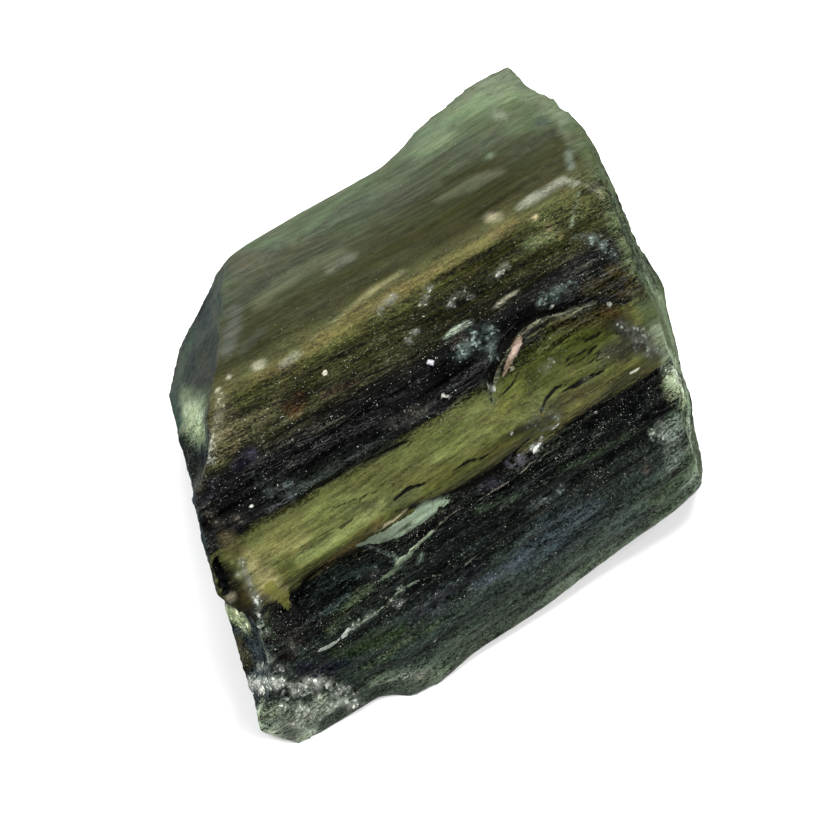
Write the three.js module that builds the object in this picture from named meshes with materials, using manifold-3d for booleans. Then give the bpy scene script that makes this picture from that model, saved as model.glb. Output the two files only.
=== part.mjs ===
// A raw moldavite: one broken piece of dark green natural glass, about 21 mm from corner to corner.
//
// It is a blocky prism with its two ends broken off. Long faces run side by side along one grain, each
// stepped with low ledges, and meet in a blunt ridge. A shell-shaped chip and a flake scar bite into the
// faces by the ridge, and two hollows into the left end. Below its widest outline the stone is undercut,
// down to the flat break that it rests on.
//
// The body is modelled in a grain frame: X runs along the grain, Y across it, Z out of the ridge. At the
// end it is turned on to its resting break, so that +Z is up, with the origin on the surface it rests on,
// under the middle of its plan. Lengths are in millimetres and angles in degrees.

import * as THREE from 'three';
import { mergeVertices } from 'three/addons/utils/BufferGeometryUtils.js';
import { ImprovedNoise } from 'three/addons/math/ImprovedNoise.js';
import Module from 'manifold-3d';

const wasm = await Module();
wasm.setup();

// ---------------------------------------------------------------- driving sizes

const GRAIN_TURN = 31; // of the grain in plan, from +X towards +Y
const LEAN = 25; // of the ridge's outward direction, back from the vertical
const REST_DEPTH = 7.6; // of the resting break below the ridge, at the grain frame's origin
const HALF_WIDTH = 7.2; // across the grain, at mid-length
const GRAIN_START = -10.6;
const GRAIN_END = 9.6;
const STATIONS = 44; // cross-sections along the grain
const RIDGE_FALL = 0.15; // how fast the ridge drops along +X
const EDGE_REACH = 5; // how sharply the faces leave the straight grain to meet the outline
const FAN = 0.03; // how far the faces below the ridge turn off the grain
const CENTRE_SHIFT = [-0.38, -1.98]; // brings the middle of the settled stone's plan over the origin

// Below its outline, each side of the rough block drops almost straight, and then draws in as it goes
// down to a flat floor. The undercuts and the resting break take most of that away.
const SIDE_DROP = 1.1;
const SIDE_LEAN = 0.12;
const SKIRT_DRAW = 1.2;
const SKIRT_DEPTH = 9;

// The ledges. Their heights and places change slowly along the grain. A ledge rises over its own width to
// a brow, and then steps down to the foot of the next.
const LEDGE_HEIGHT = { mean: 0.75, change: 1.1, pace: 0.22 }; // of the face's step; pace is per millimetre
const LEDGE_WANDER = { change: 0.28, pace: 0.16 }; // of the ledge's width
const BROW_INSET = 0.25; // of the ledge's width, from its far side
const FOOT_INSET = 0.03;
const FOOT_DEPTH = 0.4; // of the ledge's height

// Lumps all over the block, which run along the grain.
const LUMP = { height: 0.22, paceAlong: 0.2, paceAcross: 0.42 };

// The outline seen from above the ridge, as [X, Y] along its two long edges.
const UPPER_EDGE = [
  [GRAIN_START, 7.1], [-3.8, 7.25], [-2.6, 7.5], [-0.3, 7.5], [2.7, 7.4], [3.8, 7.65], [5.0, 8.25],
  [6.4, 8.85], [7.6, 9.0], [GRAIN_END, 7.8],
];
const LOWER_EDGE = [
  [GRAIN_START, -6.4], [-9.3, -6.95], [-8.5, -7.1], [-5.8, -7.05], [-5.1, -7.62], [-4.1, -7.7],
  [-2.7, -7.42], [0.0, -7.36], [1.5, -7.2], [3.2, -7.05], [5.2, -6.92], [6.2, -6.7], [GRAIN_END, -5.2],
];

// The faces across the grain, from the upper edge over the ridge to the lower edge. Each runs from the
// last face's end to its own, in ledges that stand proud by `step`.
const PROFILE_START = [HALF_WIDTH, -4.7];
const FACES = [
  { name: 'upper slope', end: [4.35, -2.15], ledges: 4, step: 0.09 },
  { name: 'pale ledge', end: [3.2, -1.75], ledges: 1, step: 0.07 },
  { name: 'rough slope', end: [1.3, -0.2], ledges: 3, step: 0.07 },
  { name: 'ridge', end: [-0.35, 0.0], ledges: 4, step: 0.1 },
  { name: 'olive band', end: [-2.35, -0.62], ledges: 2, step: 0.03 },
  { name: 'band foot', end: [-2.62, -1.1], ledges: 1, step: 0.03 },
  { name: 'dark slope', end: [-4.7, -2.35], ledges: 4, step: 0.12 },
  { name: 'lower slope', end: [-HALF_WIDTH, -4.2], ledges: 5, step: 0.12 },
];

// Breaks: planes that cut the rough block, as a point on each and its outward direction. `ripple` is the
// height of the swells on the break, and `swell` their length.
const BREAKS = [
  { name: 'left end', at: [-8.05, 0, 0], out: [-0.97, 0.26, 0.02], ripple: 0.16, swell: 2.2 },
  { name: 'left corner', at: [-4.8, 4.1, -0.4], out: [-0.59, 0.72, 0.34], ripple: 0.12, swell: 2.0 },
  { name: 'left undercut', at: [-8.2, 0, -4.7], out: [-0.74, 0.16, -0.62], ripple: 0.28, swell: 2.4 },
  { name: 'upper undercut', at: [0, 7.6, -5.1], out: [-0.1, 0.7, -0.7], ripple: 0.26, swell: 2.6 },
  { name: 'apex undercut', at: [8.2, 8.4, -6.5], out: [0.42, 0.42, -0.8], ripple: 0.14, swell: 2.2 },
  { name: 'right end', at: [8.35, 0, -3.6], out: [0.97, -0.06, 0.24], ripple: 0.24, swell: 2.4 },
  { name: 'right shoulder', at: [8.75, 6.4, -5.4], out: [0.93, 0.26, 0.2], ripple: 0.14, swell: 2.0 },
  { name: 'right undercut', at: [8.5, 1.0, -4.8], out: [0.78, -0.02, -0.62], ripple: 0.28, swell: 2.4 },
  { name: 'lower corner', at: [7.1, -3.7, -3.4], out: [0.92, -0.35, 0.16], ripple: 0.16, swell: 1.8 },
  { name: 'toe', at: [-9.17, -6.63, -2.2], out: [-0.75, -0.62, 0.1], ripple: 0.12, swell: 1.2 },
];
const BREAK_SPAN = 26; // width of the slab that makes a break
const BREAK_CELLS = 24; // its grid, each way
const GROUND_SPAN = 60; // of the block below the resting break

// Hollows where chips flew off, each a smooth egg shape: its centre and its half-lengths.
const HOLLOWS = [
  { name: 'upper end hollow', centre: [-9.8, 5.1, 0.2], reach: [4.3, 4.3, 4.3] },
  { name: 'lower end hollow', centre: [-11.45, -2.85, -0.6], reach: [3.47, 3.47, 3.47] },
  { name: 'shell chip', centre: [5.05, -1.7, 4.85], reach: [6.4, 6.4, 6.4] },
  { name: 'ridge end chip', centre: [7.7, 3.1, 1.9], reach: [3.2, 3.2, 3.2] },
  { name: 'nose notch', centre: [-8.25, -1.75, -0.9], reach: [0.7, 0.7, 0.7] },
  { name: 'flake scar', centre: [-5.0, -3.35, -0.25], reach: [3.0, 1.15, 0.95] },
];
const HOLLOW_DETAIL = 2.3; // subdivisions of the egg shape, for each millimetre of its longest reach
const HOLLOW_RIPPLE = 0.02; // of the reach

// ---------------------------------------------------------------- small helpers

const { degToRad, lerp } = THREE.MathUtils;
const perlin = new ImprovedNoise();

// Height of a polyline of [x, y] points at x.
function along(points, x) {
  const after = points.findIndex(([px]) => px >= x);
  if (after <= 0) return points[after === 0 ? 0 : points.length - 1][1];
  const [x0, y0] = points[after - 1];
  const [x1, y1] = points[after];
  return lerp(y0, y1, (x - x0) / (x1 - x0));
}

// Swells of two sizes, about -1 to 1.
function swells(u, v, seed) {
  return perlin.noise(u, v, seed) + 0.45 * perlin.noise(2.3 * u + 9, 2.3 * v, seed + 4);
}

// A closed geometry as a solid: only positions are kept, and shared corners are merged.
function solidFrom(geometry) {
  const bare = geometry.clone();
  bare.deleteAttribute('normal');
  bare.deleteAttribute('uv');
  const merged = mergeVertices(bare, 1e-4);
  return new wasm.Manifold(
    new wasm.Mesh({
      numProp: 3,
      vertProperties: Float32Array.from(merged.attributes.position.array),
      triVerts: Uint32Array.from(merged.index.array),
    }),
  );
}

function geometryFrom(solid) {
  const mesh = solid.getMesh();
  const geometry = new THREE.BufferGeometry();
  geometry.setAttribute('position', new THREE.BufferAttribute(mesh.vertProperties, 3));
  geometry.setIndex(new THREE.BufferAttribute(mesh.triVerts, 1));
  geometry.computeVertexNormals();
  return geometry;
}

// Moves each corner of a geometry to where `place` puts it, and returns the geometry.
function reshape(geometry, place) {
  const position = geometry.attributes.position;
  const corner = new THREE.Vector3();
  for (let i = 0; i < position.count; i += 1) {
    corner.fromBufferAttribute(position, i);
    place(corner);
    position.setXYZ(i, corner.x, corner.y, corner.z);
  }
  return geometry;
}

// ---------------------------------------------------------------- the stepped block

// One cross-section at x: the ring of [y, z] corners, from the upper edge over the ridge to the lower
// edge, and then back underneath.
function sectionAt(x) {
  const ring = [];
  let [y0, z0] = PROFILE_START;
  ring.push([y0, z0]);
  FACES.forEach(({ end: [y1, z1], ledges, step }, face) => {
    const across = new THREE.Vector2(y1 - y0, z1 - z0).normalize();
    const outY = across.y;
    const outZ = -across.x;
    for (let ledge = 1; ledge <= ledges; ledge += 1) {
      const seed = 3.7 * face + 1.3 * ledge;
      const { mean, change, pace } = LEDGE_HEIGHT;
      const height = step * (mean + change * perlin.noise(pace * x, seed, 0.5));
      const depth = FOOT_DEPTH * height;
      const wander = LEDGE_WANDER.change * perlin.noise(LEDGE_WANDER.pace * x, seed, 5.5);
      const brow = (ledge - BROW_INSET + wander) / ledges;
      const foot = (ledge - FOOT_INSET + (ledge < ledges ? wander : 0)) / ledges;
      ring.push([lerp(y0, y1, brow) + outY * height, lerp(z0, z1, brow) + outZ * height]);
      ring.push([lerp(y0, y1, foot) - outY * depth, lerp(z0, z1, foot) - outZ * depth]);
    }
    [y0, z0] = [y1, z1];
  });
  const upper = along(UPPER_EDGE, x);
  const lower = along(LOWER_EDGE, x);
  const fall = RIDGE_FALL * x;
  const skin = ring.map(([y, z]) => {
    const edge = y > 0 ? upper : lower;
    const follow = Math.abs(y / HALF_WIDTH) ** EDGE_REACH;
    const fan = y < 0 ? -FAN * x * (y / HALF_WIDTH) * (1 - follow) : 0;
    const placed = y + (edge - Math.sign(y) * HALF_WIDTH) * follow + fan;
    const lump = LUMP.height * swells(LUMP.paceAlong * x, LUMP.paceAcross * placed, 2.5);
    return [placed, z - fall + lump];
  });
  const [firstY, firstZ] = skin[0];
  const [lastY, lastZ] = skin[skin.length - 1];
  const floor = Math.min(firstZ, lastZ) - SKIRT_DEPTH;
  return [
    ...skin,
    [lastY + SIDE_LEAN, lastZ - SIDE_DROP],
    [lastY + SKIRT_DRAW, floor],
    [firstY - SKIRT_DRAW, floor],
    [firstY - SIDE_LEAN, firstZ - SIDE_DROP],
  ];
}

// The block lofted through all the sections. It starts as a cylinder with one facet per ring corner.
function steppedBlock() {
  const ringCount = sectionAt(0).length;
  const rings = [];
  for (let i = 0; i <= STATIONS; i += 1) {
    rings.push(sectionAt(lerp(GRAIN_START, GRAIN_END, i / STATIONS)));
  }
  const cylinder = new THREE.CylinderGeometry(1, 1, 1, ringCount, STATIONS);
  return reshape(cylinder, (corner) => {
    const station = Math.round((corner.y + 0.5) * STATIONS);
    const x = lerp(GRAIN_START, GRAIN_END, station / STATIONS);
    const onAxis = Math.hypot(corner.x, corner.z) < 0.5;
    if (onAxis) {
      corner.set(x, 0, -4);
      return;
    }
    const turn = Math.atan2(corner.x, corner.z) / (2 * Math.PI);
    const place = (Math.round(turn * ringCount) + ringCount) % ringCount;
    const [y, z] = rings[station][place];
    corner.set(x, y, z);
  });
}

// ---------------------------------------------------------------- what broke away

// A slab that takes away everything outside a break. Its near face carries the break's swells.
function breakSlab({ at, out, ripple, swell }, index) {
  const slab = new THREE.BoxGeometry(BREAK_SPAN, BREAK_SPAN, BREAK_SPAN, BREAK_CELLS, BREAK_CELLS, 1);
  slab.translate(0, 0, BREAK_SPAN / 2);
  reshape(slab, (corner) => {
    if (corner.z < 1e-6) corner.z += ripple * swells(corner.x / swell, corner.y / swell, 1.7 * index + 0.4);
  });
  const outward = new THREE.Vector3(...out).normalize();
  slab.applyQuaternion(new THREE.Quaternion().setFromUnitVectors(new THREE.Vector3(0, 0, 1), outward));
  slab.translate(...at);
  return slab;
}

// An egg shape with a lightly rippled skin, as a shell-like fracture leaves.
function hollowShape({ centre, reach }) {
  const egg = new THREE.IcosahedronGeometry(1, Math.round(HOLLOW_DETAIL * Math.max(...reach)));
  egg.scale(...reach);
  reshape(egg, (corner) => {
    corner.multiplyScalar(1 + HOLLOW_RIPPLE * swells(corner.x, corner.y, corner.z));
  });
  return egg.translate(...centre);
}

// ---------------------------------------------------------------- the stone

// Turns the grain frame on to the resting break.
const settle = new THREE.Matrix4().makeRotationFromEuler(
  new THREE.Euler(degToRad(LEAN), 0, degToRad(GRAIN_TURN), 'XYZ'),
);

function moldavite() {
  let body = solidFrom(steppedBlock());
  BREAKS.forEach((item, index) => {
    body = body.subtract(solidFrom(breakSlab(item, index)));
  });
  HOLLOWS.forEach((item) => {
    body = body.subtract(solidFrom(hollowShape(item)));
  });

  const settled = geometryFrom(body).applyMatrix4(settle);
  settled.translate(...CENTRE_SHIFT, REST_DEPTH * Math.cos(degToRad(LEAN)));
  const ground = new THREE.BoxGeometry(GROUND_SPAN, GROUND_SPAN, GROUND_SPAN);
  ground.translate(0, 0, -GROUND_SPAN / 2);
  return geometryFrom(solidFrom(settled).subtract(solidFrom(ground)));
}

const glass = new THREE.MeshStandardMaterial({ color: '#4a5230', roughness: 0.35, metalness: 0 });
const stone = new THREE.Mesh(moldavite(), glass);
stone.name = 'moldavite';

const model = new THREE.Group();
model.add(stone);

export default model;
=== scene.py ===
"""A raw moldavite: one broken piece of dark green natural glass, resting on a flat break.

The stone is shaped in its grain frame, in millimetres: X runs along the grain, Y across it and Z out of the
ridge. SETTLE turns that frame on to the resting break, into the part's own frame, in metres.
"""

import math
from functools import partial

import bmesh
import bpy
import numpy as np
from mathutils import Matrix, Vector, noise
from mathutils.bvhtree import BVHTree


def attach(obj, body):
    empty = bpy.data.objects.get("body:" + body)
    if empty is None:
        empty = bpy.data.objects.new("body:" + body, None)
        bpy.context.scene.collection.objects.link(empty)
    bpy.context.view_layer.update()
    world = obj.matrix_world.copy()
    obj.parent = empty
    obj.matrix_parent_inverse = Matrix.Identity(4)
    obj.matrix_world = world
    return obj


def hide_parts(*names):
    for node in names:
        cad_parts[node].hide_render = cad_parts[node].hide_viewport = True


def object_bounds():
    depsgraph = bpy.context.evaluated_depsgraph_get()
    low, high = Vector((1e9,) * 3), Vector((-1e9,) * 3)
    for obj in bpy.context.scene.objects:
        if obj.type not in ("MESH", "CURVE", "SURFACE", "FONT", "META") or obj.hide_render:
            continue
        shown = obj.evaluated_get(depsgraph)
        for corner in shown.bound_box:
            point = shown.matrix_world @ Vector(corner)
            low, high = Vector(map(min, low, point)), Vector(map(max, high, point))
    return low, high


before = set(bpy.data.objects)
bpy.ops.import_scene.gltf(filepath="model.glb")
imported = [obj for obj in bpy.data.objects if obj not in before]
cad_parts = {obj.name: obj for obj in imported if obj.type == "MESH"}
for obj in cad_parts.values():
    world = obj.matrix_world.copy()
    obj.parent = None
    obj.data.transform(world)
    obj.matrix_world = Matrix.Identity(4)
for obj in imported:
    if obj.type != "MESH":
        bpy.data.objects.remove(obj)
CAD_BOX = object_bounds()

# ---------------------------------------------------------------- the grain frame

MM = 0.001
GRAIN_TURN = math.radians(31)
LEAN = math.radians(25)
REST_DEPTH = 7.6  # mm, of the resting break below the ridge
GRAIN_ORIGIN = Vector((-0.38, -1.98, REST_DEPTH * math.cos(LEAN))) * MM

SETTLE = (
    Matrix.Translation(GRAIN_ORIGIN)
    @ Matrix.Rotation(LEAN, 4, "X")
    @ Matrix.Rotation(GRAIN_TURN, 4, "Z")
    @ Matrix.Scale(MM, 4)
)

# ---------------------------------------------------------------- camera, floor and lights

CAMERA_ELEVATION = math.radians(65)
CAMERA_DISTANCE = 0.142
CAMERA_LENS = 199.6
# From the grain frame's origin to what the camera aims at, across and up in its view.
AIM_OFFSET = Vector((-0.465, -0.124, 0)) * MM

# Each soft light: its direction from the stone as azimuth and elevation in degrees, its width in metres
# and its brightness in watts. Azimuth 0 is the camera's side, and 90 the left.
LIGHT_DISTANCE = 0.25
LIGHTS = [
    {"name": "back_light", "azimuth": 190, "elevation": 55, "width": 0.16, "power": 0.69},
    {"name": "right_light", "azimuth": -85, "elevation": 48, "width": 0.14, "power": 0.61},
    {"name": "left_light", "azimuth": 85, "elevation": 48, "width": 0.14, "power": 0.69},
]
WORLD_COLOUR = "#ffffff"
WORLD_STRENGTH = 0.07
FLOOR_SPAN = 6.0
FLOOR_COLOUR = "#fcfcfc"
FLOOR_ROUGHNESS = 0.9


def set_camera():
    data = bpy.data.cameras.new("camera")
    data.lens = CAMERA_LENS
    data.clip_start = 0.01
    data.clip_end = 10
    camera = bpy.data.objects.new("camera", data)
    turn = Matrix.Rotation(math.pi / 2 - CAMERA_ELEVATION, 4, "X")
    aim = GRAIN_ORIGIN + turn @ AIM_OFFSET
    camera.matrix_world = Matrix.Translation(aim) @ turn @ Matrix.Translation((0, 0, CAMERA_DISTANCE))
    bpy.context.scene.collection.objects.link(camera)
    bpy.context.scene.camera = camera


def linear(hex_colour, alpha=1.0):
    """An sRGB hex colour as a linear one."""
    parts = [int(hex_colour[i : i + 2], 16) / 255 for i in (1, 3, 5)]
    return [c / 12.92 if c <= 0.04045 else ((c + 0.055) / 1.055) ** 2.4 for c in parts] + [alpha]


def set_lights():
    for light in LIGHTS:
        data = bpy.data.lights.new(light["name"], "AREA")
        data.shape = "SQUARE"
        data.size = light["width"]
        data.energy = light["power"]
        lamp = bpy.data.objects.new(light["name"], data)
        azimuth = math.radians(light["azimuth"])
        elevation = math.radians(light["elevation"])
        towards = Vector((
            -math.sin(azimuth) * math.cos(elevation),
            -math.cos(azimuth) * math.cos(elevation),
            math.sin(elevation),
        ))
        lamp.location = towards * LIGHT_DISTANCE
        lamp.rotation_mode = "QUATERNION"
        lamp.rotation_quaternion = towards.to_track_quat("Z", "Y")
        bpy.context.scene.collection.objects.link(lamp)
    world = bpy.data.worlds.new("studio")
    world.use_nodes = True
    background = world.node_tree.nodes["Background"]
    background.inputs["Color"].default_value = linear(WORLD_COLOUR)
    background.inputs["Strength"].default_value = WORLD_STRENGTH
    bpy.context.scene.world = world
    bpy.context.scene.view_settings.view_transform = "Standard"


def node(tree, kind, inputs=(), stops=(), **settings):
    """Adds a node and gives its first live output. Inputs are values or links, in order or by name."""
    made = tree.nodes.new("ShaderNode" + kind)
    for name, value in settings.items():
        setattr(made, name, value)
    named = inputs.items() if isinstance(inputs, dict) else enumerate(inputs)
    for name, value in named:
        if isinstance(value, bpy.types.NodeSocket):
            tree.links.new(value, made.inputs[name])
        else:
            made.inputs[name].default_value = value
    for _ in stops[2:]:  # a new ramp has two stops
        made.color_ramp.elements.new(0.5)
    for (place, colour), element in zip(stops, made.color_ramp.elements if stops else ()):
        element.position = place
        element.color = colour
    return next(output for output in made.outputs if output.enabled)


def set_floor():
    bm = bmesh.new()
    bmesh.ops.create_grid(bm, x_segments=1, y_segments=1, size=FLOOR_SPAN / 2)
    mesh = bpy.data.meshes.new("floor")
    bm.to_mesh(mesh)
    bm.free()
    floor = bpy.data.objects.new("floor", mesh)
    bpy.context.scene.collection.objects.link(floor)
    paper = bpy.data.materials.new("matt_white_paper")
    paper.use_nodes = True
    surface = paper.node_tree.nodes["Principled BSDF"]
    surface.inputs["Base Color"].default_value = linear(FLOOR_COLOUR)
    surface.inputs["Roughness"].default_value = FLOOR_ROUGHNESS
    mesh.materials.append(paper)


# ---------------------------------------------------------------- the stone's surface

STRETCH = 2.5  # the mesh's cells are this much longer along the grain than across it
CELL = 0.07  # mm, across the grain
SQUEEZE = Matrix.Diagonal((1 / STRETCH, 1, 1, 1))
WELD = 1e-4  # mm, within which the solid's loose corners are one
REST_LEVEL = 0.05  # mm: what lies this close to the floor is the resting break
FULL_RELIEF = 4  # times REST_LEVEL, from where the relief has its whole height

# How the faces differ, by their place across the grain. At each place: the height of the terraces, of
# the fine lines and of the grit, all in mm, and then how clear the glass is, how rough its polish is,
# how strongly it is lined, and how much grit and pale dust it carries.
ZONE_PLACES = [-9.0, -4.5, -2.75, -2.4, -0.6, -0.3, 1.2, 1.7, 3.1, 3.5, 4.1, 4.6, 9.5]
ZONES = {
    "terrace": [0.0, 0.0, 0.04, 0.012, 0.014, 0.05, 0.06, 0.035, 0.03, 0.012, 0.012, 0.02, 0.015],
    "line": [0.004, 0.007, 0.012, 0.004, 0.004, 0.016, 0.016, 0.008, 0.006, 0.003, 0.003, 0.004, 0.003],
    "grit": [0.012, 0.018, 0.014, 0.003, 0.003, 0.008, 0.01, 0.016, 0.014, 0.004, 0.003, 0.003, 0.002],
    "clear": [0.2, 0.03, 0.02, 0.05, 0.05, 0.02, 0.02, 0.03, 0.06, 0.06, 0.08, 0.12, 0.25],
    "rough": [0.34, 0.3, 0.25, 0.35, 0.35, 0.22, 0.25, 0.4, 0.42, 0.4, 0.4, 0.42, 0.45],
    "lined": [0.35, 0.8, 0.85, 0.5, 0.5, 1.0, 1.0, 0.7, 0.55, 0.4, 0.4, 0.4, 0.25],
    "gritty": [0.4, 1.25, 1.15, 0.2, 0.2, 0.8, 0.9, 1.0, 0.9, 0.4, 0.2, 0.08, 0.0],
}

# The soft noises that shape the skin. Each has its width across the grain and its length along it in mm,
# its strength, and a shift that keeps it apart from the others.
SKIN_NOISES = {
    "ledges": (1.3, 7.0, 1.0, 3.1),
    "small ledges": (0.5, 2.6, 0.5, 7.7),
    "crests": (0.24, 2.4, 2.0, 11.3),
    "fine lines": (0.11, 2.2, 0.6, 5.9),
    "grains": (0.18, 0.22, 1.0, 2.3),
    "wobble": (0.3, 0.8, 0.6, 8.8),
    "small wobble": (0.1, 0.22, 0.4, 4.4),
}
TREADS = 5  # terraces in each unit of the ledges' noise
RISER = 0.12  # half of a riser's width, as a share of its tread's
STEPPED, SLOPING = 1.6, 0.3  # how much of the terraces' height is steps, and how much an even slope

# The rings of the shell-shaped chip, in mm.
CHIP_CENTRE = (4.9, -1.9)
CHIP_REACH = 3.0
RING_PITCH = 0.42
RING_HEIGHT = 0.012
RING_FADE = 0.6  # of the reach, from where they fade
LOOKS_UP = 0.3  # the rise of a face's normal from which it has them in full

# The breaks across the grain. A face becomes one as its normal leans along the grain.
BREAK_FROM, BREAK_TO = 0.4, 0.7
BREAK_GRIT = 0.02  # mm
BREAK_ROUGHNESS = 0.9
BREAK_COVER = 0.85  # how far their colours hide the zones'
LEFT_BREAK_COLOUR = "#262e32"
RIGHT_BREAK_COLOUR = "#3e4736"

# How a mark lies on the skin, and how its edge fades and wanders.
DROP_HEIGHT = 5  # mm above the ridge, from where it drops on to the skin
EDGE_DEPTH = -3  # mm, where one that misses the stone looks for the nearest skin
SPOT = 1e-3  # mm, the length of one that has a single point
STAIN_EDGE = 0.55  # of a stain's half-width
LEAST_STAIN_EDGE = 0.05  # mm
FLAKE_EDGE = 0.06  # mm, before the glass's own grain breaks it up
WANDER = 0.8  # of a stain's edge or a flake's half-width
MOST_FLAKE_WANDER = 0.16  # mm
LEAST_COVER = 1e-6  # what bare glass counts as, so that nothing is divided by 0

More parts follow.
